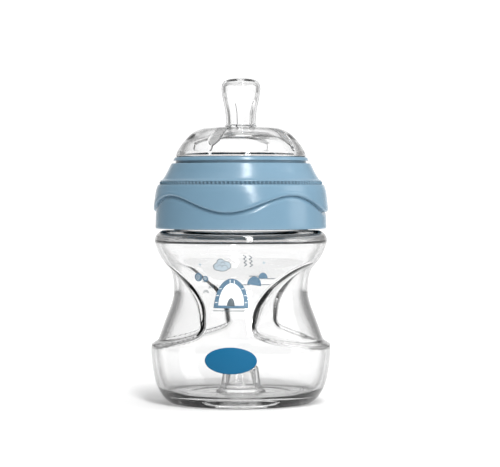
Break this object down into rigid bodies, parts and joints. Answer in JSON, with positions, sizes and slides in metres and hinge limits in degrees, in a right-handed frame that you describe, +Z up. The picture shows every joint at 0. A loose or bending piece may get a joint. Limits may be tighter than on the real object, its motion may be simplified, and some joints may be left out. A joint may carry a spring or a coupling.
{
  "type": "baby bottle",
  "caption": "Wide-neck feeding bottle: clear waisted body with finger grips, screw collar with a raised wave and a clear silicone teat.",
  "frame": {"origin": "middle of the foot, on the surface that the bottle stands on", "axes": "+Z up along the bottle's axis; the printed front looks along -Y, and the two finger grips are at +X and -X"},
  "size_m": [0.075, 0.075, 0.135],
  "materials": {
    "clear_plastic": "clear moulded copolyester",
    "blue_plastic": "glossy moulded polypropylene, light blue",
    "clear_silicone": "clear moulded silicone rubber",
    "print_blue": "screen print, slate blue",
    "print_teal": "screen print, teal"
  },
  "bodies": {
    "bottle": {"bottle_body": "clear_plastic"},
    "teat": {"teat": "clear_silicone"},
    "collar": {"screw_ring": "blue_plastic", "grip_skirt": "blue_plastic", "rim_ring": "blue_plastic"}
  },
  "joints": [
    {"name": "teat_lift", "type": "slide", "parent": "bottle", "child": "teat", "axis": [0, 0, 1], "range_m": [0, 0.022]},
    {"name": "collar_turn", "type": "hinge", "parent": "teat", "child": "collar", "pos_m": [0, 0, 0], "axis": [0, 0, 1], "range_deg": [0, 992]}
  ],
  "couplings": [
    {"joint": "collar_turn", "follows": "teat_lift", "rad_per_m": 785.4}
  ]
}
